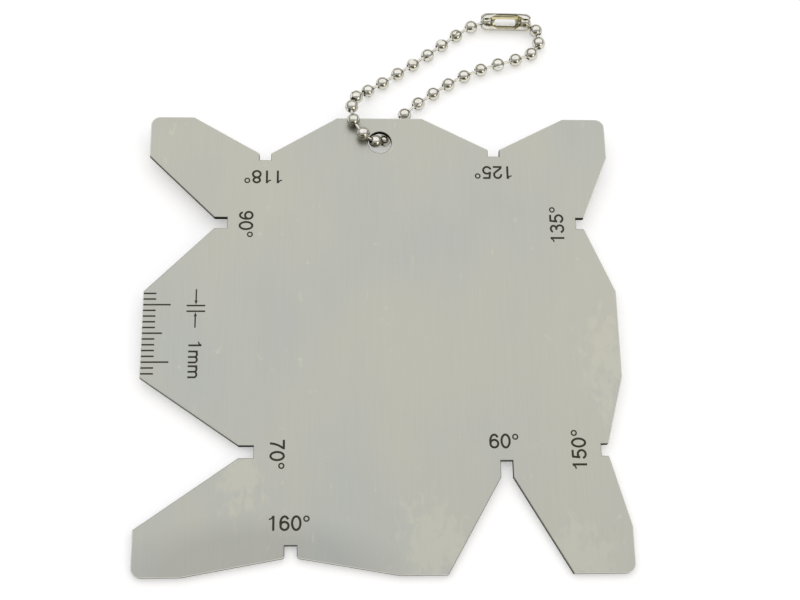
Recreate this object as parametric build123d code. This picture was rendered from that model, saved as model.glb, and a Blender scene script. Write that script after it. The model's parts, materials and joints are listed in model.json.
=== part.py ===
from build123d import *
from math import asin, atan, cos, degrees, radians, sin, tan
import os

# A drill point gauge: a flat sheet steel plate with a V notch for each point angle, and a
# closed loop of ball chain threaded through a hole by its top edge.
# It lies on a table. The plate leans on the bead of chain that lies under it.

# Plate
PLATE_SIZE = 80.0
PLATE_THICKNESS = 1.0
CORNER_RADIUS = 1.6
HOLE_DIAMETER = 4.1
HOLE_FROM_TOP = 4.7

# Notches. A relief slot runs on from the point of each V, so that a drill's chisel edge is free.
NOTCH_MOUTH = 25.0
NOTCH_PLACE = 20.0
SLOT_WIDTH = 2.0
SLOT_EASE = 0.3
# side, drill point angle, place along the side, mouth, how far the slot runs past the point of the V
NOTCHES = [
    ("top", 118, -NOTCH_PLACE, NOTCH_MOUTH, 0.7),
    ("top", 125, NOTCH_PLACE, NOTCH_MOUTH, 0.8),
    ("right", 135, NOTCH_PLACE, NOTCH_MOUTH, 1.0),
    ("right", 150, -NOTCH_PLACE, NOTCH_MOUTH, 1.0),
    ("bottom", 60, NOTCH_PLACE, 20.0, 1.0),
    ("bottom", 160, -15.0, 34.5, 1.8),
    ("left", 70, -NOTCH_PLACE, NOTCH_MOUTH, 1.0),
    ("left", 90, NOTCH_PLACE, NOTCH_MOUTH, 1.2),
]

# Ball chain: hollow beads pressed from strip round headed pins
BEAD_DIAMETER = 2.3
BEAD_WALL = 0.2
BEAD_OPENING = 1.1
BEAD_SIDES = 12
PIVOT_FROM_CENTRE = 0.45
PIN_LENGTH = 2.5
PIN_SHANK = 0.5
PIN_HEAD = 1.16
PIN_HEAD_FACE = 0.4
PIN_HEAD_RIM = 0.18
PIN_HEAD_DEPTH = 0.53
PIN_SIDES = 8
BEADS_IN_STRAND = 14

# Connector: a barrel rolled from sheet, with a bead caught in each end
CONNECTOR_LENGTH = 9.1
CONNECTOR_DIAMETER = 3.1
CONNECTOR_WALL = 0.25
CONNECTOR_END_HOLE = 2.1
CONNECTOR_END_ROUND = 0.8
CONNECTOR_SIDES = 20
CONNECTOR_LEAN = 20.0
WINDOW_LENGTH = 5.0
WINDOW_FLAT = 3.0
WINDOW_WIDTH = 2.4
BACK_WINDOW_LENGTH = 3.9
BACK_WINDOW_WIDTH = 1.2
ENTRY_SLOT_WIDTH = 1.0

# How the chain lies. Each step from one bead to the next is its length, its compass
# direction on the table and its climb, in millimetres and degrees. 3.4 mm is a link pulled
# straight, and a shorter one has its pin pushed into its beads.
PULLED = 3.4
FIRST_BEAD_FROM_HOLE = (-0.75, 0.26)
FIRST_BEAD_HEIGHT = 3.13
SUPPORT_PAST_HOLE = 1.54
CLEARANCE = 0.05
LINK_THROUGH_HOLE = (2.9, 37, -43)
STEPS_OVER = [
    (2.75, 160, 32),
    (3.1, 123, 1),
    (3.15, 95, -12),
    (3.05, 72, -25),
    (3.2, 43, -24.5),
    (3.15, 33, -4),
    (PULLED, 35, 0),
    (PULLED, 34, 0),
    (PULLED, 37, 0),
    (PULLED, 38.5, 0),
    (PULLED, 37.5, 0),
    (PULLED, 34, 0),
    (3.15, 18, 5),
]
STEPS_UNDER = [
    (3.15, 57, 0),
    (3.15, 52, 0),
    (PULLED, 42.5, 0),
    (PULLED, 36, 0),
    (PULLED, 35.5, 0),
    (PULLED, 30, 0),
    (PULLED, 24, 0),
    (PULLED, 19.5, 0),
    (PULLED, 17, 0),
    (3.25, 23, 0),
    (2.75, 57, 0),
    (2.7, 98, 0),
    (2.55, 143, 6),
]

# Worked out
BEAD_RADIUS = BEAD_DIAMETER / 2
HALF = PLATE_SIZE / 2
HOLE_PLACE = HALF - HOLE_FROM_TOP
SUPPORT_FROM_BOTTOM = HALF + HOLE_PLACE + SUPPORT_PAST_HOLE
PLATE_LEAN = degrees(atan((BEAD_DIAMETER + CLEARANCE) / SUPPORT_FROM_BOTTOM))


def notch(side, angle, place, mouth, past):
    """The outline cut for one point angle, with its mouth on the plate's side."""
    depth = mouth / 2 / tan(radians(angle / 2))
    half_slot = SLOT_WIDTH / 2
    flank_end = depth - half_slot / tan(radians(angle / 2))
    outline = Polygon(
        (-mouth / 2, 0),
        (-half_slot, -flank_end),
        (-half_slot, -depth - past),
        (half_slot, -depth - past),
        (half_slot, -flank_end),
        (mouth / 2, 0),
        align=None,
    )
    junctions = [v for v in outline.vertices() if abs(v.Y + flank_end) < 1e-6]
    outline = fillet(junctions, SLOT_EASE)
    turn = {"top": 0, "right": -90, "bottom": 180, "left": 90}[side]
    along = -place if side in ("bottom", "right") else place
    return Rot(0, 0, turn) * Pos(along, HALF, 0) * outline


def gauge_plate():
    """The plate, lying flat with the middle of its top face at the origin."""
    outline = RectangleRounded(PLATE_SIZE, PLATE_SIZE, CORNER_RADIUS)
    for row in NOTCHES:
        outline -= notch(*row)
    outline -= Pos(0, HOLE_PLACE) * Circle(HOLE_DIAMETER / 2)
    return extrude(outline, -PLATE_THICKNESS)


def ring(radius, height, sides):
    """The corners of a regular polygon round the Z axis."""
    return [
        (radius * cos(radians(360 * i / sides)), radius * sin(radians(360 * i / sides)), height)
        for i in range(sides)
    ]


def ball(radius, opening, bands, sides):
    """A faceted ball, cut flat where the openings are."""
    first = asin(opening / radius)
    corners = []
    for i in range(bands + 1):
        angle = first + (radians(180) - 2 * first) * i / bands
        corners += ring(radius * sin(angle), radius * cos(angle), sides)
    return ConvexPolyhedron(corners)


def bead():
    """A hollow bead with an opening at each end of its Z axis. The openings are as many sided as it is."""
    opening = BEAD_OPENING / 2
    inner_radius = BEAD_RADIUS - BEAD_WALL
    shell = ball(BEAD_RADIUS, opening, 5, BEAD_SIDES) - ball(inner_radius, opening, 3, BEAD_SIDES)
    bore = ConvexPolyhedron(
        ring(opening, BEAD_RADIUS, BEAD_SIDES) + ring(opening, -BEAD_RADIUS, BEAD_SIDES)
    )
    return shell - bore


def pin():
    """A link: a pin with a head on each end, along Z about its middle."""
    shank, head, face = PIN_SHANK / 2, PIN_HEAD / 2, PIN_HEAD_FACE / 2
    end = PIN_LENGTH / 2
    body = ConvexPolyhedron(
        ring(shank, end - PIN_HEAD_DEPTH, PIN_SIDES) + ring(shank, PIN_HEAD_DEPTH - end, PIN_SIDES)
    )
    for way in (1, -1):
        body += ConvexPolyhedron(
            ring(face, way * end, PIN_SIDES)
            + ring(head, way * (end - PIN_HEAD_RIM), PIN_SIDES)
            + ring(shank, way * (end - PIN_HEAD_DEPTH), PIN_SIDES)
        )
    return body


def barrel(length, radius, end_round):
    """A bar along X. Its ends are rounded over, down to the holes in them."""
    hole = CONNECTOR_END_HOLE / 2
    corners = []
    for way in (1, -1):
        for angle in (0, 35, 65, 90):
            height = length / 2 - end_round * (1 - sin(radians(angle)))
            width = hole + (radius - hole) * cos(radians(angle))
            corners += ring(width, way * height, CONNECTOR_SIDES)
    return Rot(0, 90, 0) * ConvexPolyhedron(corners)


def connector():
    """The barrel along X. Its front is open in a wide window with an entry slot to each end."""
    radius, wall = CONNECTOR_DIAMETER / 2, CONNECTOR_WALL
    body = barrel(CONNECTOR_LENGTH, radius, CONNECTOR_END_ROUND)
    body -= barrel(CONNECTOR_LENGTH - 2 * wall, radius - wall, CONNECTOR_END_ROUND - wall)
    ends = ring(CONNECTOR_END_HOLE / 2, CONNECTOR_LENGTH, CONNECTOR_SIDES)
    ends += ring(CONNECTOR_END_HOLE / 2, -CONNECTOR_LENGTH, CONNECTOR_SIDES)
    body -= Rot(0, 90, 0) * ConvexPolyhedron(ends)
    window = Polygon(
        (-WINDOW_LENGTH / 2, 0),
        (-WINDOW_FLAT / 2, WINDOW_WIDTH / 2),
        (WINDOW_FLAT / 2, WINDOW_WIDTH / 2),
        (WINDOW_LENGTH / 2, 0),
        (WINDOW_FLAT / 2, -WINDOW_WIDTH / 2),
        (-WINDOW_FLAT / 2, -WINDOW_WIDTH / 2),
        align=None,
    )
    body -= extrude(window, CONNECTOR_DIAMETER)
    body -= extrude(Rectangle(2 * CONNECTOR_LENGTH, ENTRY_SLOT_WIDTH), CONNECTOR_DIAMETER)
    back = RectangleRounded(BACK_WINDOW_LENGTH, BACK_WINDOW_WIDTH, BACK_WINDOW_WIDTH / 3)
    return body - extrude(back, -CONNECTOR_DIAMETER)


def direction(heading, climb):
    """A unit vector from a compass direction on the table and a climb."""
    level = cos(radians(climb))
    return Vector(
        level * cos(radians(heading)), level * sin(radians(heading)), sin(radians(climb))
    )


def walk(start, steps):
    """The places of a strand's beads, from its first."""
    places = [start]
    for length, heading, climb in steps:
        places.append(places[-1] + direction(heading, climb) * length)
    return places


def along(place, way):
    """A frame at a place, with its Z axis the given way and its X axis level."""
    side = Vector(0, 0, 1).cross(way)
    return Plane(origin=place, x_dir=side, z_dir=way).location


def bead_ways(places, before):
    """Each bead's axis lies midway between the ways of the two pins it holds."""
    ways = []
    last = (places[0] - before).normalized()
    for here, following in zip(places, places[1:] + [None]):
        onward = (following - here).normalized() if following else last
        ways.append((last + onward).normalized())
        last = onward
    return ways


def pin_between(first, first_way, second, second_way):
    """A pin from one bead to the next, aimed through the middle of their openings."""
    start = first + first_way * PIVOT_FROM_CENTRE
    end = second - second_way * PIVOT_FROM_CENTRE
    return along((start + end) / 2, (end - start).normalized())


def on_plate(shape):
    """Puts what was drawn on the flat plate where the plate lies, on its lower edge and leaning."""
    lower_edge = Pos(0, HALF, PLATE_THICKNESS)
    return Pos(0, -HALF, 0) * Rot(PLATE_LEAN, 0, 0) * lower_edge * shape


def make_pieces():
    """Every piece of the gauge by name, on a table at Z 0 with the plate's middle over the origin."""
    pieces = {"gauge_plate": on_plate(gauge_plate())}
    hole = on_plate(Vertex(0, HOLE_PLACE, 0)).center()
    shift_x, shift_y = FIRST_BEAD_FROM_HOLE
    over_start = Vector(hole.X + shift_x, hole.Y + shift_y, FIRST_BEAD_HEIGHT)
    length, heading, climb = LINK_THROUGH_HOLE
    under_start = over_start + direction(heading, climb) * length
    strands = {
        "over": (walk(over_start, STEPS_OVER), under_start),
        "under": (walk(under_start, STEPS_UNDER), over_start),
    }
    one_bead, one_pin = bead(), pin()
    first_ways = {}
    for strand, (places, before) in strands.items():
        ways = bead_ways(places, before)
        first_ways[strand] = ways[0]
        for n, (place, way) in enumerate(zip(places, ways), 1):
            pieces[f"{strand}_bead_{n:02d}"] = along(place, way) * one_bead
        for n in range(1, BEADS_IN_STRAND):
            frame = pin_between(places[n - 1], ways[n - 1], places[n], ways[n])
            pieces[f"{strand}_link_{n:02d}"] = frame * one_pin
    frame = pin_between(over_start, -first_ways["over"], under_start, first_ways["under"])
    pieces["hole_link"] = frame * one_pin
    ends = [strands[strand][0][-1] for strand in ("over", "under")]
    middle = Vector(
        (ends[0].X + ends[1].X) / 2, (ends[0].Y + ends[1].Y) / 2, CONNECTOR_DIAMETER / 2
    )
    turn = degrees(atan((ends[1].Y - ends[0].Y) / (ends[1].X - ends[0].X)))
    place = Pos(*middle) * Rot(0, 0, turn) * Rot(CONNECTOR_LEAN, 0, 0)
    pieces["chain_connector"] = place * connector()
    return pieces


def main():
    pieces = make_pieces()
    box = Compound([solid for shape in pieces.values() for solid in shape.solids()]).bounding_box()
    to_origin = Pos(-box.center().X, -box.center().Y, -box.min.Z)
    os.makedirs("parts", exist_ok=True)
    for name, shape in pieces.items():
        export_step(to_origin * shape, f"parts/{name}.step")
    print("box", box.size, "moved by", -box.center().X, -box.center().Y, -box.min.Z)


main()
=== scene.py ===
import json
from math import acos, asin, atan2, cos, hypot, pi, radians, sin, tan

import bmesh
import bpy
from mathutils import Matrix, Vector
from mathutils.geometry import delaunay_2d_cdt


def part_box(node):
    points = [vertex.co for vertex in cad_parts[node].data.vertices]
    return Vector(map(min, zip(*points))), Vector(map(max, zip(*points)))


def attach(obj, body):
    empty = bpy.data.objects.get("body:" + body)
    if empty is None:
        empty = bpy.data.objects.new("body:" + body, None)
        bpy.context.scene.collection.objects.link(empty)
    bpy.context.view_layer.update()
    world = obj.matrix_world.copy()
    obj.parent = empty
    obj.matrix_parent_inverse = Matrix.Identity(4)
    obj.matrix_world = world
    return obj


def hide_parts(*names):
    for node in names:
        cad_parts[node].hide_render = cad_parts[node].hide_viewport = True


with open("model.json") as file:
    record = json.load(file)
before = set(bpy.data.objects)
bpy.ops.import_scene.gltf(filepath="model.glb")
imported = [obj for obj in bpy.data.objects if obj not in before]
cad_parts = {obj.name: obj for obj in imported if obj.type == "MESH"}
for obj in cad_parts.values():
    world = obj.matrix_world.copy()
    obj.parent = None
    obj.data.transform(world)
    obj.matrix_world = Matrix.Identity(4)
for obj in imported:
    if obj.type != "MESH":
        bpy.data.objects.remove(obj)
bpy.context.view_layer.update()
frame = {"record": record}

# The photograph was taken from high above the plate's lower edge, with a long lens.
# The picture is 800 by 600 pixels.
camera_data = bpy.data.cameras.new("camera")
camera_data.sensor_width = 36.0
camera_data.lens = 60.89
camera_data.clip_start = 0.001
camera = bpy.data.objects.new("camera", camera_data)
camera.location = (-0.008848, -0.086625, 0.215667)
camera.rotation_euler = (radians(20.861), radians(-2.784), radians(-1.079))
bpy.context.scene.collection.objects.link(camera)
bpy.context.scene.camera = camera
bpy.context.scene.view_settings.view_transform = "Standard"

# The plate is one flat sheet of steel, cut with eight V notches and a hole for the chain.
# Its edges are only just broken, and both faces have a satin finish with a faint upright grain.
mm = 0.001
plate_side = 80.0 * mm
plate_thickness = 1.0 * mm
corner_radius = 1.6 * mm
edge_break = 0.12 * mm
hole_radius = 2.05 * mm
hole_from_top = 4.7 * mm
slot_half_width = 1.0 * mm
slot_ease = 0.3 * mm
# side, drill point angle, place along the side, mouth, how far the slot runs past the point
notches = [
    ("top", 118, -20.0, 25.0, 0.7),
    ("top", 125, 20.0, 25.0, 0.8),
    ("right", 135, 20.0, 25.0, 1.0),
    ("right", 150, -20.0, 25.0, 1.0),
    ("bottom", 60, 20.0, 20.0, 1.0),
    ("bottom", 160, -15.0, 34.5, 1.8),
    ("left", 70, -20.0, 25.0, 1.0),
    ("left", 90, 20.0, 25.0, 1.2),
]
sides = ["top", "left", "bottom", "right"]
half_side = plate_side / 2

plate_low, plate_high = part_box("gauge_plate")
plate_lean = asin(plate_high.z / hypot(plate_side, plate_thickness))
plate_lean -= atan2(plate_thickness, plate_side)
plate_foot = plate_low.y + plate_thickness * sin(plate_lean)
# From the flat plate, with the middle of its top face at the origin, to where it leans
plate_place = (
    Matrix.Translation((0, plate_foot, 0))
    @ Matrix.Rotation(plate_lean, 4, "X")
    @ Matrix.Translation((0, half_side, plate_thickness))
)


def bent_corner(before, corner, after, radius, steps):
    """The points of an arc that rounds a corner."""
    to_before = (Vector(before) - Vector(corner)).normalized()
    to_after = (Vector(after) - Vector(corner)).normalized()
    half_angle = to_before.angle(to_after) / 2
    start = Vector(corner) + to_before * radius / tan(half_angle)
    end = Vector(corner) + to_after * radius / tan(half_angle)
    middle = Vector(corner) + (to_before + to_after).normalized() * radius / sin(half_angle)
    first = start - middle
    turn = first.angle_signed(end - middle)
    return [
        tuple(middle + Matrix.Rotation(-turn * i / steps, 2) @ first) for i in range(steps + 1)
    ]


def side_points(side):
    """The outline along one side of the plate, as if it was the top side, from right to left."""
    points = []
    on_side = [row for row in notches if row[0] == side]
    flip = -1 if side in ("bottom", "right") else 1
    for _, angle, place, mouth, past in sorted(on_side, key=lambda row: -row[2] * flip):
        middle = place * flip * mm
        half_mouth = mouth * mm / 2
        depth = half_mouth / tan(radians(angle / 2))
        flank_end = depth - slot_half_width / tan(radians(angle / 2))
        slot_end = depth + past * mm
        right = [
            (middle + half_mouth, half_side),
            (middle + slot_half_width, half_side - flank_end),
            (middle + slot_half_width, half_side - slot_end),
        ]
        left = [(2 * middle - x, y) for x, y in reversed(right)]
        points.append(right[0])
        points += bent_corner(right[0], right[1], right[2], slot_ease, 4)
        points += [right[2], left[0]]
        points += bent_corner(left[0], left[1], left[2], slot_ease, 4)
        points.append(left[2])
    return points


outline = []
for quarter, side in enumerate(sides):
    quarter_turn = Matrix.Rotation(quarter * pi / 2, 2)
    points = side_points(side)
    corner = (-half_side, half_side)
    points += bent_corner((0, half_side), corner, (-half_side, 0), corner_radius, 8)
    outline += [tuple(quarter_turn @ Vector(p)) for p in points]
hole_middle = half_side - hole_from_top
hole = [
    (hole_radius * cos(-2 * pi * i / 96), hole_middle + hole_radius * sin(-2 * pi * i / 96))
    for i in range(96)
]


# The flanks of a notch for less than this angle, in degrees, are painted dark too, as painted
# shade for the dark reflection these flanks show
steep_notch = 100
steep_flank_painted_shade = 0.75
# an eased edge beside a dark wall gets this share of the wall's darkness, painted shade included
dark_wall_edge_share = 0.3


def painted_wall_darkness(x, y):
    """How dark a wall is painted: fully in the hole and slots, dark from the punch and from
    painted shade, and less on a deep flank, as painted shade.
    """
    if hypot(x, y - hole_middle) < hole_radius + edge_break:
        return 1.0
    for side, angle, place, mouth, _ in notches:
        local = Matrix.Rotation(-sides.index(side) * pi / 2, 2) @ Vector((x, y))
        flip = -1 if side in ("bottom", "right") else 1
        beside = abs(local.x - place * flip * mm)
        flank_end = (mouth * mm / 2 - slot_half_width) / tan(radians(angle / 2))
        in_slot = beside < slot_half_width + edge_break
        if in_slot and local.y < half_side - flank_end - slot_ease:
            return 1.0
        in_notch = beside < mouth * mm / 2 - edge_break and local.y < half_side - edge_break
        if angle < steep_notch and in_notch and local.y > half_side - flank_end - slot_ease:
            return steep_flank_painted_shade
    return 0.0


def flat_shape(name, loops, thickness, eased):
    """A sheet cut to closed outlines, with its top face at Z 0 and its edges eased."""
    curve = bpy.data.curves.new(name, "CURVE")
    curve.dimensions = "2D"
    curve.fill_mode = "BOTH"
    curve.extrude = thickness / 2 - eased
    curve.bevel_depth = eased
    curve.bevel_resolution = 3
    curve.offset = -eased
    for loop in loops:
        spline = curve.splines.new("POLY")
        spline.points.add(len(loop) - 1)
        for point, (x, y) in zip(spline.points, loop):
            point.co = (x, y, 0, 1)
        spline.use_cyclic_u = True
    flat = bpy.data.objects.new(name, curve)
    bpy.context.scene.collection.objects.link(flat)
    mesh = bpy.data.meshes.new_from_object(
        flat.evaluated_get(bpy.context.evaluated_depsgraph_get())
    )
    bpy.data.objects.remove(flat)
    mesh.transform(Matrix.Translation((0, 0, -thickness / 2)))
    return mesh


sharp_corner = radians(32)


def finished(name, mesh, material, body):
    """A finished piece on its body, with smooth faces and sharp corners."""
    mesh.materials.clear()
    mesh.materials.append(material)
    mesh.name = name
    mesh.shade_smooth()
    mesh.set_sharp_from_angle(angle=sharp_corner)
    piece = bpy.data.objects.new(name, mesh)
    bpy.context.scene.collection.objects.link(piece)
    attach(piece, body)
    return piece


def new_material(name):
    """A material with its own shader, ready for its nodes."""
    material = bpy.data.materials.new(name)
    material.use_nodes = True
    nodes = material.node_tree.nodes
    return material, nodes, material.node_tree.links, nodes["Principled BSDF"]


steel, nodes, links, shader = new_material("satin_sheet_steel")
place = nodes.new("ShaderNodeTexCoord")


def noise_at(scale_x, scale_y, detail, nodes, links, place, distortion=0.0):
    """Noise on the piece's own coordinates, stretched along the grain."""
    mapping = nodes.new("ShaderNodeMapping")
    mapping.inputs["Scale"].default_value = (scale_x, scale_y, scale_y)
    links.new(place.outputs["Object"], mapping.inputs["Vector"])
    noise = nodes.new("ShaderNodeTexNoise")
    noise.inputs["Scale"].default_value = 1.0
    noise.inputs["Detail"].default_value = detail
    noise.inputs["Distortion"].default_value = distortion
    links.new(mapping.outputs["Vector"], noise.inputs["Vector"])
    return noise


def ramp_from(source, stops, nodes, links):
    """A colour ramp over a noise or an attribute."""
    ramp = nodes.new("ShaderNodeValToRGB")
    links.new(source.outputs["Fac"], ramp.inputs["Fac"])
    for element, (position, colour) in zip(ramp.color_ramp.elements, stops):
        element.position = position
        element.color = (*colour, 1)
    return ramp


def blended(kind, share, below, above, nodes, links):
    """One colour laid over another. Each of them and the share is a value or a socket."""
    blend = nodes.new("ShaderNodeMix")
    blend.data_type = "RGBA"
    blend.blend_type = kind
    for key, value in (("Factor", share), ("A", below), ("B", above)):
        sockets = [i for i in blend.inputs if i.name == key and i.enabled]
        if isinstance(value, bpy.types.NodeSocket):
            links.new(value, sockets[0])
        else:
            sockets[0].default_value = value
    return [o for o in blend.outputs if o.enabled][0]


def attribute(name, nodes):
    """A value that the mesh carries for each face."""
    node = nodes.new("ShaderNodeAttribute")
    node.attribute_name = name
    return node


def covered(below, name, colour, nodes, links):
    """A colour with another laid over it on the faces that carry a value of this name."""
    share = attribute(name, nodes).outputs["Fac"]
    return blended("MIX", share, below, (*colour, 1), nodes, links)


def soft_patch(x, y, reach_x, reach_y, nodes, links, place):
    """A soft round patch on the plate, strongest in its middle. Places and sizes are in mm."""
    mapping = nodes.new("ShaderNodeMapping")
    mapping.vector_type = "TEXTURE"
    mapping.inputs["Location"].default_value = plate_place @ Vector((x * mm, y * mm, 0))
    mapping.inputs["Scale"].default_value = (reach_x * mm, reach_y * mm, 1.0)
    links.new(place.outputs["Object"], mapping.inputs["Vector"])
    patch = nodes.new("ShaderNodeTexGradient")
    patch.gradient_type = "SPHERICAL"
    links.new(mapping.outputs["Vector"], patch.inputs["Vector"])
    return patch


# Cool and warm clouds, and grain that only just shows
clouds = noise_at(42, 30, 4, nodes, links, place)
grain = noise_at(3600, 95, 3, nodes, links, place)
cloud_colour = ramp_from(
    clouds, [(0.35, (0.452, 0.464, 0.425)), (0.65, (0.500, 0.493, 0.426))], nodes, links
)
grain_colour = ramp_from(
    grain, [(0.3, (0.972, 0.972, 0.972)), (0.7, (1.0, 1.0, 1.0))], nodes, links
)
stained = blended(
    "MULTIPLY", 1.0, cloud_colour.outputs["Color"], grain_colour.outputs["Color"], nodes, links
)
# Yellowish handling stains with ragged edges, and painted shade in a soft band along the lower
# left edge
ragged = noise_at(620, 380, 10, nodes, links, place, distortion=0.5)
stain_colour = (0.545, 0.538, 0.448, 1)
stain_strength = 0.5
stain_starts, stain_full = 0.67, 0.82
patch_weight = 0.42
# middle and reach of each stained patch, in mm
stained_patches = [
    (7.5, -35.0, 9, 13),
    (37.5, -5.0, 7, 15),
    (31.0, -37.0, 12, 9),
    (-23.0, -25.0, 6, 10),
]
for x, y, reach_x, reach_y in stained_patches:
    patch = soft_patch(x, y, reach_x, reach_y, nodes, links, place)
    edge = nodes.new("ShaderNodeMath")
    edge.operation = "MULTIPLY_ADD"
    edge.inputs[1].default_value = patch_weight
    links.new(patch.outputs["Fac"], edge.inputs[0])
    links.new(ragged.outputs["Fac"], edge.inputs[2])
    share = nodes.new("ShaderNodeMapRange")
    share.inputs["From Min"].default_value = stain_starts
    share.inputs["From Max"].default_value = stain_full
    share.inputs["To Max"].default_value = stain_strength
    links.new(edge.outputs[0], share.inputs["Value"])
    stained = blended("MIX", share.outputs["Result"], stained, stain_colour, nodes, links)
# Painted shade: a soft band that darkens the plate towards its lower left edge
painted_shade_band = ramp_from(
    soft_patch(-20.0, -41.0, 26, 12, nodes, links, place),
    [(0.04, (1, 1, 1)), (0.40, (0.87, 0.87, 0.88))],
    nodes,
    links,
)
colour = blended("MULTIPLY", 1.0, stained, painted_shade_band.outputs["Color"], nodes, links)
# The eased edges are painted bright as a painted highlight, the ground walls are duller, and the
# punched walls are nearly black from the punch and from painted shade
colour = covered(colour, "painted_edge_highlight", (0.90, 0.90, 0.85), nodes, links)
colour = covered(colour, "ground_wall", (0.20, 0.20, 0.185), nodes, links)
colour = covered(colour, "punched_and_shaded_wall", (0.03, 0.028, 0.02), nodes, links)
links.new(colour, shader.inputs["Base Color"])
# The punched walls and steep flanks reflect little too, so their dark colour and painted shade
# stay dark when seen along the face
sheen = covered((1, 1, 1, 1), "punched_and_shaded_wall", (0.1, 0.1, 0.1), nodes, links)
links.new(sheen, shader.inputs["Specular Tint"])
gloss = nodes.new("ShaderNodeMapRange")
gloss.inputs["To Min"].default_value = 0.34
gloss.inputs["To Max"].default_value = 0.42
links.new(clouds.outputs["Fac"], gloss.inputs["Value"])
# The eased edges with the painted highlight are rougher and half as metallic, so that their
# painted bright colour shows
edge_gloss = nodes.new("ShaderNodeMath")
edge_gloss.operation = "MULTIPLY_ADD"
edge_gloss.inputs[1].default_value = 0.25
links.new(attribute("painted_edge_highlight", nodes).outputs["Fac"], edge_gloss.inputs[0])
links.new(gloss.outputs["Result"], edge_gloss.inputs[2])
links.new(edge_gloss.outputs[0], shader.inputs["Roughness"])
edge_metal = nodes.new("ShaderNodeMath")
edge_metal.operation = "MULTIPLY_ADD"
edge_metal.inputs[1].default_value = -0.5
edge_metal.inputs[2].default_value = 1.0
links.new(attribute("painted_edge_highlight", nodes).outputs["Fac"], edge_metal.inputs[0])
links.new(edge_metal.outputs[0], shader.inputs["Metallic"])
bump = nodes.new("ShaderNodeBump")
bump.inputs["Strength"].default_value = 0.05
bump.inputs["Distance"].default_value = 0.00001
links.new(grain.outputs["Fac"], bump.inputs["Height"])
links.new(bump.outputs["Normal"], shader.inputs["Normal"])

plate_mesh = flat_shape("plate", [outline, hole], plate_thickness, edge_break)
# The walls of slots and hole are dark from the punch and from painted shade, the flanks of the
# steep notches carry painted shade, the other eased edges carry a painted highlight, and the
# remaining flanks and the sides are ground
wall_values = {
    name: plate_mesh.attributes.new(name, "FLOAT", "FACE").data
    for name in ("painted_edge_highlight", "ground_wall", "punched_and_shaded_wall")
}
for face in plate_mesh.polygons:
    level = abs(face.normal.z)
    if level > 0.995:
        continue
    darkness = painted_wall_darkness(face.center.x, face.center.y)
    if darkness > 0:
        on_wall = 1.0 if level < 0.5 else dark_wall_edge_share
        wall_values["punched_and_shaded_wall"][face.index].value = darkness * on_wall
    elif level < 0.2:
        wall_values["ground_wall"][face.index].value = 1.0
    else:
        wall_values["painted_edge_highlight"][face.index].value = 1.0
plate_mesh.transform(plate_place)
plate = finished("notched_plate", plate_mesh, steel, "plate")
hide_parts("gauge_plate")

# The angle numbers, the millimetre scale and the 1 mm mark are etched into the top face and
# left dark brown. The etch is a few thousandths of a millimetre, so each mark is a thin dark skin.
mark_thickness = 0.02 * mm
mark_sunk = 0.015 * mm
mark_lift = mark_thickness - mark_sunk

dark_etch, nodes, links, shader = new_material("dark_etch")
shader.inputs["Specular IOR Level"].default_value = 0.3
shader.inputs["Roughness"].default_value = 0.6
place = nodes.new("ShaderNodeTexCoord")
speckle = noise_at(9000, 9000, 2, nodes, links, place)
etch_colour = ramp_from(
    speckle, [(0.35, (0.026, 0.022, 0.012)), (0.7, (0.052, 0.045, 0.027))], nodes, links
)
links.new(etch_colour.outputs["Color"], shader.inputs["Base Color"])

# Strokes are drawn by their middle lines, in thousandths of the size of the lettering
stroke_width = 108
thin_stroke = 72
figure_advance = 556
advances = {"m": 833, "°": 400}


def arc(middle, radii, start, end, steps=20):
    """Points along an oval, from one angle in degrees to another."""
    angles = [radians(start + (end - start) * i / steps) for i in range(steps + 1)]
    return [(middle[0] + radii[0] * cos(a), middle[1] + radii[1] * sin(a)) for a in angles]


figures = {
    "0": [arc((278, 352), (196, 318), 0, 360, 36)],
    "1": [[(316, 0), (316, 709)]],
    "2": [
        arc((272, 478), (184, 190), 190, -32)
        + [(348, 306), (250, 226), (160, 156), (108, 98), (98, 60)],
        [(52, 42), (508, 42)],
    ],
    "3": [
        arc((262, 527), (172, 141), 165, -85),
        [(205, 384), (280, 384)],
        arc((268, 203), (192, 178), 88, -168),
    ],
    "5": [
        [(130, 667), (478, 667)],
        [(150, 700), (106, 318)],
        arc((266, 232), (196, 192), 148, -165),
    ],
    "6": [arc((284, 226), (188, 188), 0, 360, 32), arc((290, 345), (198, 324), 35, 195)],
    "7": [[(46, 667), (508, 667)], [(466, 660), (372, 520), (296, 370), (240, 190), (214, 0)]],
    "8": [arc((278, 528), (166, 140), 0, 360, 30), arc((278, 204), (194, 178), 0, 360, 32)],
    "m": [
        [(107, 0), (107, 523)],
        arc((262, 352), (155, 130), 180, 0) + [(417, 0)],
        arc((571, 352), (155, 130), 180, 0) + [(726, 0)],
    ],
}
figures["9"] = [[(figure_advance - x, 709 - y) for x, y in line] for line in figures["6"]]
# the flag of the 1 and the degree ring, which are thinner
thin_figures = {
    "1": [arc((101, 690), (180, 148), -90, 0, 8)],
    "°": [arc((200, 557), (117, 117), 0, 360, 24)],
}

# what it reads, turn in degrees, its middle on the plate, and the lettering's size
number_size = 3.385
numbers = [
    ("118°", 180, (-20.3, 28.6), number_size),
    ("125°", 180, (19.8, 29.6), number_size),
    ("90°", -90, (-23.1, 19.75), number_size),
    ("135°", 90, (30.5, 19.8), number_size),
    ("70°", -90, (-17.3, -20.45), number_size),
    ("60°", 0, (19.65, -18.45), number_size),
    ("150°", 90, (31.95, -19.9), number_size),
    ("160°", 0, (-15.25, -31.6), number_size),
    ("1mm", -90, (-31.1, -4.47), 3.05),
]


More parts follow.
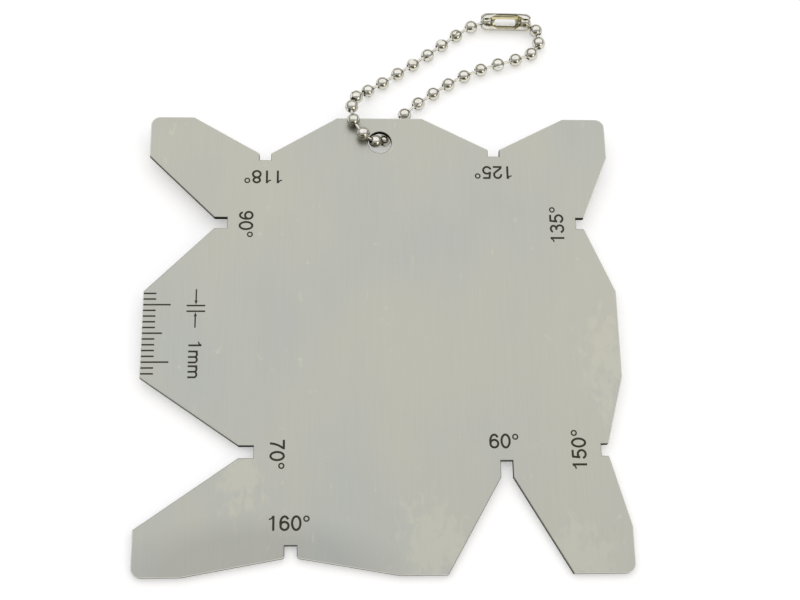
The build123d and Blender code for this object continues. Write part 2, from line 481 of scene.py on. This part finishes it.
def stroke_sides(line, width):
    """The points on the two sides of a stroke, mitred where it bends."""
    points = [Vector(p) for p in line]
    closed = (points[0] - points[-1]).length < 1e-6
    sides = []
    for i, point in enumerate(points):
        before = points[i - 1] if i else (points[-2] if closed else None)
        after = points[i + 1] if i + 1 < len(points) else (points[1] if closed else None)
        ways = [(point - before).normalized()] if before is not None else []
        ways += [(after - point).normalized()] if after is not None else []
        normals = [Vector((-way.y, way.x)) for way in ways]
        across = sum(normals, Vector((0, 0))).normalized()
        across *= width / 2 / across.dot(normals[0])
        sides.append((point + across, point - across))
    return sides


def lettering(words, size):
    """Words as a thin mesh on the flat plate, with their middle at the origin."""
    corners, faces = [], []
    start = 0
    for figure in words:
        lines = [(line, stroke_width) for line in figures.get(figure, [])]
        lines += [(line, thin_stroke) for line in thin_figures.get(figure, [])]
        for line, width in lines:
            moved = stroke_sides([(x + start, y) for x, y in line], width)
            for (a, b), (c, d) in zip(moved, moved[1:]):
                faces.append([len(corners) + i for i in range(4)])
                corners += [a, b, d, c]
        start += advances.get(figure, figure_advance)
    points, _, parts, _, _, sources = delaunay_2d_cdt(corners, [], faces, 1, 1e-3)
    shape = bmesh.new()
    placed = [shape.verts.new((x, y, 0)) for x, y in points]
    for part, source in zip(parts, sources):
        if source:
            shape.faces.new([placed[i] for i in part])
    bmesh.ops.delete(shape, geom=[v for v in shape.verts if not v.link_faces], context="VERTS")
    low = Vector([min(v.co[i] for v in shape.verts) for i in range(3)])
    high = Vector([max(v.co[i] for v in shape.verts) for i in range(3)])
    middle = (low + high) / 2
    unit = size * mm / 1000
    grown_up = bmesh.ops.extrude_face_region(shape, geom=shape.faces[:])
    for corner in grown_up["geom"]:
        if isinstance(corner, bmesh.types.BMVert):
            corner.co.z = mark_thickness / unit
    bmesh.ops.recalc_face_normals(shape, faces=shape.faces)
    mesh = bpy.data.meshes.new(words)
    shape.to_mesh(mesh)
    shape.free()
    mesh.transform(Matrix.Scale(unit, 4) @ Matrix.Translation(-middle))
    return mesh


for words, turn, middle, size in numbers:
    mesh = lettering(words, size)
    at = (middle[0] * mm, middle[1] * mm, -mark_sunk)
    mesh.transform(Matrix.Translation(at) @ Matrix.Rotation(radians(turn), 4, "Z"))
    mesh.transform(plate_place)
    name = "mark_" + words.replace("°", "_degrees")
    finished(name, mesh, dark_etch, "plate")

# The scale is fifteen lines, a millimetre apart, that run in from the plate's left edge. Each
# fifth one from the middle is long and the middle one is of medium length.


def node_tree(name, inputs):
    """A geometry tree with its named inputs, and the group input and output nodes."""
    tree = bpy.data.node_groups.new(name, "GeometryNodeTree")
    tree.interface.new_socket("Geometry", in_out="INPUT", socket_type="NodeSocketGeometry")
    for label, kind in inputs:
        tree.interface.new_socket(label, in_out="INPUT", socket_type=kind)
    tree.interface.new_socket("Geometry", in_out="OUTPUT", socket_type="NodeSocketGeometry")
    return tree, tree.nodes.new("NodeGroupInput"), tree.nodes.new("NodeGroupOutput")


def grown(name, mesh, tree, values):
    """The plain mesh that a geometry tree makes from a starting mesh."""
    start = bpy.data.objects.new(name, mesh)
    bpy.context.scene.collection.objects.link(start)
    modifier = start.modifiers.new(name, "NODES")
    modifier.node_group = tree
    for item in tree.interface.items_tree:
        if item.item_type == "SOCKET" and item.in_out == "INPUT" and item.name in values:
            modifier[item.identifier] = values[item.name]
    start.update_tag()
    bpy.context.view_layer.update()
    depsgraph = bpy.context.evaluated_depsgraph_get()
    result = bpy.data.meshes.new_from_object(start.evaluated_get(depsgraph), depsgraph=depsgraph)
    start.modifiers.clear()
    bpy.data.objects.remove(start)
    return result


def linked(tree, kind, inputs=None, **settings):
    """A node with its settings, whose inputs are values or other nodes' outputs."""
    node = tree.nodes.new(kind)
    for key, value in settings.items():
        setattr(node, key, value)
    for key, value in (inputs or {}).items():
        if isinstance(value, bpy.types.NodeSocket):
            tree.links.new(value, node.inputs[key])
        else:
            node.inputs[key].default_value = value
    return node


scale_tree, given, result = node_tree(
    "ruled_scale",
    [
        ("Line", "NodeSocketGeometry"),
        ("Width", "NodeSocketFloat"),
        ("Thickness", "NodeSocketFloat"),
        ("Material", "NodeSocketMaterial"),
    ],
)
# Each point of the starting mesh is a line's foot on the edge, and carries the line's length
length = linked(scale_tree, "GeometryNodeInputNamedAttribute", {"Name": "line_length"})
size = linked(
    scale_tree,
    "ShaderNodeCombineXYZ",
    {
        "X": length.outputs["Attribute"],
        "Y": given.outputs["Width"],
        "Z": given.outputs["Thickness"],
    },
)
cube = linked(scale_tree, "GeometryNodeMeshCube")
inwards = linked(
    scale_tree,
    "GeometryNodeTransform",
    {"Geometry": cube.outputs["Mesh"], "Translation": (0.5, 0, 0)},
)
placed = linked(
    scale_tree,
    "GeometryNodeInstanceOnPoints",
    {
        "Points": given.outputs["Geometry"],
        "Instance": inwards.outputs["Geometry"],
        "Scale": size.outputs["Vector"],
    },
)
real = linked(
    scale_tree, "GeometryNodeRealizeInstances", {"Geometry": placed.outputs["Instances"]}
)
dressed = linked(
    scale_tree,
    "GeometryNodeSetMaterial",
    {"Geometry": real.outputs["Geometry"], "Material": given.outputs["Material"]},
)
scale_tree.links.new(dressed.outputs["Geometry"], result.inputs["Geometry"])

scale_middle = 0.15
line_lengths = {0: 3.3, 5: 4.55, -5: 4.55}
short_line = 2.1
line_width = 0.28
lines = bpy.data.meshes.new("scale_lines")
foot_height = -mark_sunk + mark_thickness / 2
line_foot = -half_side + 0.1 * mm
feet = [(line_foot, (scale_middle + n) * mm, foot_height) for n in range(-7, 8)]
lines.from_pydata(feet, [], [])
lengths = lines.attributes.new("line_length", "FLOAT", "POINT")
for n in range(-7, 8):
    lengths.data[n + 7].value = line_lengths.get(n, short_line) * mm
scale_values = {"Width": line_width * mm, "Thickness": mark_thickness, "Material": dark_etch}
scale_mesh = grown("scale_lines", lines, scale_tree, scale_values)
scale_mesh.transform(plate_place)
finished("millimetre_scale", scale_mesh, dark_etch, "plate")

# The 1 mm mark: two lines a millimetre apart, with an arrow on to each from outside
mark_lines = [(-32.7, 4.99), (-32.7, 3.99)]
mark_line_length = 3.1
# foot and head of each arrow, and its head's width and length
arrows = [((-31.15, 7.9), (-31.15, 4.99)), ((-31.2, 1.1), (-31.2, 3.99))]
arrow_shaft = 0.24
arrow_head = 0.55
arrow_head_length = 0.75
loops = []
for x, y in mark_lines:
    low, high = y - line_width / 2, y + line_width / 2
    loops.append([(x, low), (x + mark_line_length, low), (x + mark_line_length, high), (x, high)])
for (x, foot_y), (_, head_y) in arrows:
    way = 1 if head_y > foot_y else -1
    neck = head_y - way * (line_width / 2 + arrow_head_length)
    tip = head_y - way * line_width / 2
    half = arrow_shaft / 2
    loops.append(
        [
            (x - half, foot_y),
            (x - half, neck),
            (x - arrow_head / 2, neck),
            (x, tip),
            (x + arrow_head / 2, neck),
            (x + half, neck),
            (x + half, foot_y),
        ]
    )
loops = [[(x * mm, y * mm) for x, y in loop] for loop in loops]
mark_mesh = flat_shape("one_millimetre", loops, mark_thickness, 0.0)
mark_mesh.transform(plate_place @ Matrix.Translation((0, 0, mark_lift)))
finished("one_millimetre_mark", mark_mesh, dark_etch, "plate")

# The chain's beads are rolled from thin strip into hollow balls, with a seam down one side and
# an opening at each end, and then nickel plated.
bead_radius = 1.15 * mm
bead_wall = 0.2 * mm
bead_opening = 0.55 * mm
seam_half_width = 0.08 * mm
seam_depth = 0.13 * mm
beads_in_strand = 14
first_opening = asin(bead_opening / bead_radius)
inner_radius = bead_radius - bead_wall


def turned(name, section, angles, closed=True):
    """A solid of revolution about Z, from a section of (radius, height) points."""
    shape = bmesh.new()
    rings = [
        [shape.verts.new((r * cos(a), r * sin(a), z)) for r, z in section] for a in angles
    ]
    count = len(section)
    for here, following in zip(rings, rings[1:] + rings[:1]):
        for i in range(count if closed else count - 1):
            j = (i + 1) % count
            corners = [here[i], following[i], following[j], here[j]]
            shape.faces.new(corners)
    bmesh.ops.remove_doubles(shape, verts=shape.verts, dist=1e-9)
    bmesh.ops.recalc_face_normals(shape, faces=shape.faces)
    mesh = bpy.data.meshes.new(name)
    shape.to_mesh(mesh)
    shape.free()
    return mesh


section = []
for i in range(21):
    polar = first_opening + (pi - 2 * first_opening) * i / 20
    section.append((bead_radius * sin(polar), bead_radius * cos(polar)))
for i in range(13):
    polar = pi - first_opening - (pi - 2 * first_opening) * i / 12
    section.append((max(inner_radius * sin(polar), bead_opening), inner_radius * cos(polar)))
seam_turn = seam_half_width / bead_radius
seam_shoulder = 2.2 * seam_turn
side_depth = 0.7 * seam_depth
even = 44
angles = [-seam_shoulder, -seam_turn, 0, seam_turn, seam_shoulder]
angles += [2 * pi * i / even for i in range(2, even - 1)]
bead_mesh = turned("bead", section, angles)
for vertex in bead_mesh.vertices:
    x, y, z = vertex.co
    off_seam = abs(atan2(y, x))
    if off_seam < 1.1 * seam_turn and vertex.co.length > bead_radius * 0.98:
        deep = seam_depth if off_seam < 0.1 * seam_turn else side_depth
        vertex.co *= 1 - deep / bead_radius
gap = bead_mesh.attributes.new("seam_gap", "FLOAT", "FACE").data
for face in bead_mesh.polygons:
    x, y, z = face.center
    is_outer = face.center.length > (bead_radius + inner_radius) / 2
    gap[face.index].value = 1.0 if is_outer and abs(atan2(y, x)) < seam_turn else 0.0
bead_mesh.shade_smooth()
bead_mesh.set_sharp_from_angle(angle=radians(40))
bead = bpy.data.objects.new("bead", bead_mesh)

nickel, nodes, links, shader = new_material("bright_nickel_plating")
shader.inputs["Metallic"].default_value = 1.0
shader.inputs["Specular Tint"].default_value = (0.35, 0.35, 0.30, 1)
place = nodes.new("ShaderNodeTexCoord")
stain = noise_at(900, 900, 2, nodes, links, place)
nickel_colour = ramp_from(
    stain, [(0.35, (0.67, 0.65, 0.56)), (0.65, (0.77, 0.76, 0.70))], nodes, links
)
seamed = covered(
    nickel_colour.outputs["Color"], "seam_gap", (0.05, 0.045, 0.025), nodes, links
)
links.new(seamed, shader.inputs["Base Color"])
gloss = nodes.new("ShaderNodeMapRange")
gloss.inputs["To Min"].default_value = 0.07
gloss.inputs["To Max"].default_value = 0.16
links.new(stain.outputs["Fac"], gloss.inputs["Value"])
links.new(gloss.outputs["Result"], shader.inputs["Roughness"])
ripple = noise_at(1300, 1300, 2, nodes, links, place)
bump = nodes.new("ShaderNodeBump")
bump.inputs["Strength"].default_value = 0.7
bump.inputs["Distance"].default_value = 0.00004
links.new(ripple.outputs["Fac"], bump.inputs["Height"])
links.new(bump.outputs["Normal"], shader.inputs["Normal"])

# A tree that threads copies of one piece along the strand. Each point carries the way the chain
# runs there, and each copy is turned about that way by chance, from a fixed seed.
thread_tree, given, result = node_tree(
    "threaded_on_chain",
    [
        ("Piece", "NodeSocketObject"),
        ("Size", "NodeSocketFloat"),
        ("Seed", "NodeSocketInt"),
        ("Material", "NodeSocketMaterial"),
    ],
)
way = linked(
    thread_tree, "GeometryNodeInputNamedAttribute", {"Name": "way"}, data_type="FLOAT_VECTOR"
)
aligned = linked(
    thread_tree,
    "FunctionNodeAlignRotationToVector",
    {"Vector": way.outputs["Attribute"]},
    axis="Z",
)
chance = linked(
    thread_tree, "FunctionNodeRandomValue", {"Seed": given.outputs["Seed"]}, data_type="FLOAT"
)
chance.inputs[3].default_value = 2 * pi
spin = linked(
    thread_tree,
    "FunctionNodeAxisAngleToRotation",
    {"Axis": (0, 0, 1), "Angle": chance.outputs[1]},
)
both = linked(
    thread_tree,
    "FunctionNodeRotateRotation",
    {"Rotation": aligned.outputs["Rotation"], "Rotate By": spin.outputs["Rotation"]},
    rotation_space="LOCAL",
)
piece_info = linked(thread_tree, "GeometryNodeObjectInfo", {"Object": given.outputs["Piece"]})
placed = linked(
    thread_tree,
    "GeometryNodeInstanceOnPoints",
    {
        "Points": given.outputs["Geometry"],
        "Instance": piece_info.outputs["Geometry"],
        "Rotation": both.outputs["Rotation"],
        "Scale": given.outputs["Size"],
    },
)
real = linked(
    thread_tree, "GeometryNodeRealizeInstances", {"Geometry": placed.outputs["Instances"]}
)
dressed = linked(
    thread_tree,
    "GeometryNodeSetMaterial",
    {"Geometry": real.outputs["Geometry"], "Material": given.outputs["Material"]},
)
thread_tree.links.new(dressed.outputs["Geometry"], result.inputs["Geometry"])


def middle_of(node):
    """The middle of a chain bead's own box."""
    low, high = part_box(node)
    return (low + high) / 2


# Each bead's axis lies midway between the ways of the pins on its two sides
places = {}
ways = {}
for strand, other in (("over", "under"), ("under", "over")):
    names = [f"{strand}_bead_{n:02d}" for n in range(1, beads_in_strand + 1)]
    middles = [middle_of(name) for name in names]
    last = (middles[0] - middle_of(f"{other}_bead_01")).normalized()
    for i, name in enumerate(names):
        onward = (middles[i + 1] - middles[i]).normalized() if i + 1 < len(names) else last
        places[name] = middles[i]
        ways[name] = (last + onward).normalized()
        last = onward


def threaded(name, piece, seed, rows, material, body, nodes_replaced):
    """Copies of one piece at (place, way) rows, as a finished piece of one body."""
    points = bpy.data.meshes.new(name)
    points.from_pydata([tuple(place) for place, _ in rows], [], [])
    stored = points.attributes.new("way", "FLOAT_VECTOR", "POINT")
    for i, (_, way) in enumerate(rows):
        stored.data[i].vector = way
    values = {"Piece": piece, "Size": 1.0, "Seed": seed, "Material": material}
    mesh = grown(name, points, thread_tree, values)
    made = finished(name, mesh, material, body)
    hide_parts(*nodes_replaced)
    return made


chain_bodies = frame["record"]["behaviour"]["bodies"]
for seed, (body, members) in enumerate(chain_bodies.items()):
    names = [n for n in members if "_bead_" in n]
    if names:
        rows = [(places[n], ways[n]) for n in names]
        threaded(f"beads_{body}", bead, seed, rows, nickel, body, names)

# The pins hold the beads together. Each has a shank as thick as stiff wire and a head upset on
# both ends, which can't pull back out of its bead.
pivot_from_middle = 0.45 * mm
pin_half_length = 1.25 * mm
shank_radius = 0.25 * mm
head_radius = 0.58 * mm
head_face = 0.25 * mm
head_rim = 0.18 * mm
head_depth = 0.53 * mm
half_section = [
    (shank_radius, 0),
    (shank_radius, pin_half_length - head_depth - 0.05 * mm),
    (shank_radius + 0.02 * mm, pin_half_length - head_depth),
    (head_radius - 0.02 * mm, pin_half_length - head_rim - 0.02 * mm),
    (head_radius, pin_half_length - head_rim),
    (head_radius - 0.05 * mm, pin_half_length - head_rim * 0.55),
    (head_face, pin_half_length),
    (0, pin_half_length),
]
pin_section = [(r, -z) for r, z in reversed(half_section[1:])] + half_section
pin_mesh = turned("pin", pin_section, [2 * pi * i / 24 for i in range(24)], closed=False)
pin_mesh.shade_smooth()
pin = bpy.data.objects.new("pin", pin_mesh)


def pin_row(first, second, first_way=None):
    """The middle and the way of the pin between two beads."""
    start = places[first] + (first_way or ways[first]) * pivot_from_middle
    end = places[second] - ways[second] * pivot_from_middle
    return (start + end) / 2, (end - start).normalized()


pin_rows = {"hole_link": pin_row("over_bead_01", "under_bead_01", -ways["over_bead_01"])}
for strand in ("over", "under"):
    for n in range(1, beads_in_strand):
        beads = (f"{strand}_bead_{n:02d}", f"{strand}_bead_{n + 1:02d}")
        pin_rows[f"{strand}_link_{n:02d}"] = pin_row(*beads)
for seed, (body, members) in enumerate(chain_bodies.items()):
    names = [n for n in members if "link" in n]
    if names:
        rows = [pin_rows[n] for n in names]
        threaded(f"pins_{body}", pin, seed, rows, nickel, body, names)

# The connector is a barrel rolled from nickel plated brass sheet, with its ends drawn in over the
# last bead of each strand. The beads went in through its window and along the slots.
barrel_length = 9.1 * mm
barrel_radius = 1.55 * mm
barrel_wall = 0.25 * mm
end_hole = 1.05 * mm
dome_start = barrel_length / 2 - (barrel_radius**2 - end_hole**2) ** 0.5
barrel_lean = radians(27.0)
window_length = 8.4 * mm
window_flat = 3.3 * mm
window_width = 2.7 * mm
entry_slot_width = 1.0 * mm
back_window = (3.9 * mm, 1.2 * mm)


def barrel_side(radius, steps):
    """Half the outline of the barrel, from its end to its middle, as (radius, height) points."""
    reach = acos(end_hole / radius)
    angles = [reach * (1 - i / steps) for i in range(steps + 1)]
    return [(radius * cos(a), dome_start + radius * sin(a)) for a in angles]


outside = barrel_side(barrel_radius, 12)
inside = barrel_side(barrel_radius - barrel_wall, 8)
outside += [(r, -z) for r, z in reversed(outside)]
inside += [(r, -z) for r, z in reversed(inside)]
barrel_section = outside + list(reversed(inside))
barrel_mesh = turned("barrel", barrel_section, [2 * pi * i / 96 for i in range(96)])
barrel_mesh.transform(Matrix.Rotation(pi / 2, 4, "Y"))
barrel = bpy.data.objects.new("barrel", barrel_mesh)
bpy.context.scene.collection.objects.link(barrel)


def rounded_loop(corners, radius, steps):
    """A closed outline with each corner rounded."""
    loop = []
    for before, corner, after in zip([corners[-1]] + corners, corners, corners[1:] + corners[:1]):
        loop += bent_corner(before, corner, after, radius, steps)
    return loop


half_window, half_flat, half_width = window_length / 2, window_flat / 2, window_width / 2
window_loop = rounded_loop(
    [
        (half_window, 0),
        (half_flat, half_width),
        (-half_flat, half_width),
        (-half_window, 0),
        (-half_flat, -half_width),
        (half_flat, -half_width),
    ],
    0.35 * mm,
    4,
)
slot_x, slot_y = barrel_length, entry_slot_width / 2
slot_loop = [(slot_x, -slot_y), (slot_x, slot_y), (-slot_x, slot_y), (-slot_x, -slot_y)]
back_x, back_y = back_window[0] / 2, back_window[1] / 2
back_loop = rounded_loop(
    [(back_x, -back_y), (back_x, back_y), (-back_x, back_y), (-back_x, -back_y)], 0.4 * mm, 4
)
reach = 2 * barrel_radius
cutters = []
for label, loop, top in (
    ("window", window_loop, reach),
    ("slot", slot_loop, reach),
    ("back", back_loop, 0.0),
):
    mesh = flat_shape(label, [loop], reach, 0.0)
    mesh.transform(Matrix.Translation((0, 0, top)))
    cutter = bpy.data.objects.new(label, mesh)
    bpy.context.scene.collection.objects.link(cutter)
    cut = barrel.modifiers.new(label, "BOOLEAN")
    cut.operation = "DIFFERENCE"
    cut.solver = "EXACT"
    cut.object = cutter
    cutters.append(cutter)
ease = barrel.modifiers.new("ease", "BEVEL")
ease.width = 0.05 * mm
ease.segments = 2
ease.limit_method = "ANGLE"
ease.angle_limit = radians(50)
bpy.context.view_layer.update()
depsgraph = bpy.context.evaluated_depsgraph_get()
connector_mesh = bpy.data.meshes.new_from_object(
    barrel.evaluated_get(depsgraph), depsgraph=depsgraph
)
for spent in [barrel] + cutters:
    bpy.data.objects.remove(spent)

# Inside and on its cut edges the brass is bare
plating_reach = 0.07 * mm
bare = connector_mesh.attributes.new("bare_brass", "FLOAT", "FACE").data
for face in connector_mesh.polygons:
    x, y, z = face.center
    depth = barrel_radius - hypot(max(abs(x) - dome_start, 0), hypot(y, z))
    bare[face.index].value = 1.0 if depth > plating_reach else 0.0
plated_brass = nickel.copy()
plated_brass.name = "nickel_plated_brass"
nodes, links = plated_brass.node_tree.nodes, plated_brass.node_tree.links
shader = nodes["Principled BSDF"]
plating = shader.inputs["Base Color"].links[0].from_socket
brass = covered(plating, "bare_brass", (0.78, 0.74, 0.57), nodes, links)
links.new(brass, shader.inputs["Base Color"])

one_end, other_end = places["over_bead_14"], places["under_bead_14"]
half_way = (one_end + other_end) / 2
connector_turn = atan2(other_end.y - one_end.y, other_end.x - one_end.x)
connector_place = (
    Matrix.Translation((half_way.x, half_way.y, barrel_radius))
    @ Matrix.Rotation(connector_turn, 4, "Z")
    @ Matrix.Rotation(barrel_lean, 4, "X")
)
connector_mesh.transform(connector_place)
connector = finished("barrel_connector", connector_mesh, plated_brass, "connector")
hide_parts("chain_connector")

# The gauge lies on a plain white table under soft light from above and behind it. The room is
# dark low down, most of all on the camera's side, and the bright metal shows that in its curves.
table_side = 3.0
table_mesh = bpy.data.meshes.new("table")
half = table_side / 2
table_mesh.from_pydata(
    [(-half, -half, 0), (half, -half, 0), (half, half, 0), (-half, half, 0)], [], [(0, 1, 2, 3)]
)
paper, nodes, links, shader = new_material("white_table")
shader.inputs["Base Color"].default_value = (0.96, 0.96, 0.96, 1)
shader.inputs["Roughness"].default_value = 0.9
shader.inputs["Emission Color"].default_value = (1, 1, 1, 1)
path = nodes.new("ShaderNodeLightPath")
seen = nodes.new("ShaderNodeMath")
seen.operation = "MAXIMUM"
links.new(path.outputs["Is Camera Ray"], seen.inputs[0])
links.new(path.outputs["Is Glossy Ray"], seen.inputs[1])
glow = nodes.new("ShaderNodeMath")
glow.operation = "MULTIPLY"
glow.inputs[1].default_value = 0.30
links.new(seen.outputs[0], glow.inputs[0])
links.new(glow.outputs[0], shader.inputs["Emission Strength"])
table_mesh.materials.append(paper)
table = bpy.data.objects.new("table", table_mesh)
bpy.context.scene.collection.objects.link(table)

# Low dark screens stand round the table. The one behind the camera is higher.
screen_distance = 1.3
screen_height = 0.26
front_screen_height = 1.05
front_screen_half_angle = 38
screen_steps = 60
screen_points = []
for i in range(screen_steps):
    turn = 360 * i / screen_steps
    in_front = abs(turn - 270) <= front_screen_half_angle
    x, y = screen_distance * cos(radians(turn)), screen_distance * sin(radians(turn))
    screen_points += [(x, y, 0), (x, y, front_screen_height if in_front else screen_height)]
count = len(screen_points)
screen_faces = [(i, (i + 2) % count, (i + 3) % count, i + 1) for i in range(0, count, 2)]
screen_mesh = bpy.data.meshes.new("dark_screens")
screen_mesh.from_pydata(screen_points, [], screen_faces)
cloth, nodes, links, shader = new_material("dark_screen")
shader.inputs["Base Color"].default_value = (0.11, 0.095, 0.045, 1)
screen_mesh.materials.append(cloth)
screens = bpy.data.objects.new("dark_screens", screen_mesh)
screens.visible_camera = False
bpy.context.scene.collection.objects.link(screens)

world = bpy.data.worlds.new("room")
bpy.context.scene.world = world
world.use_nodes = True
sky = world.node_tree.nodes["Background"]
sky.inputs["Color"].default_value = (0.98, 0.975, 1.0, 1)
sky.inputs["Strength"].default_value = 0.44


def soft_lamp(name, place, width, depth, power, colour=(1, 1, 1)):
    """A soft lamp that faces the middle of the gauge."""
    lamp_data = bpy.data.lights.new(name, "AREA")
    lamp_data.shape = "RECTANGLE"
    lamp_data.size = width
    lamp_data.size_y = depth
    lamp_data.energy = power
    lamp_data.color = colour
    lamp = bpy.data.objects.new(name, lamp_data)
    lamp.location = place
    lamp.rotation_euler = Vector(place).to_track_quat("Z", "Y").to_euler()
    bpy.context.scene.collection.objects.link(lamp)


soft_lamp("overhead", (0.0, 0.5, 1.02), 3.4, 1.8, 13.5)
soft_lamp("front_right", (0.72, -0.85, 0.52), 0.6, 0.6, 1.7, (1.0, 0.94, 0.68))
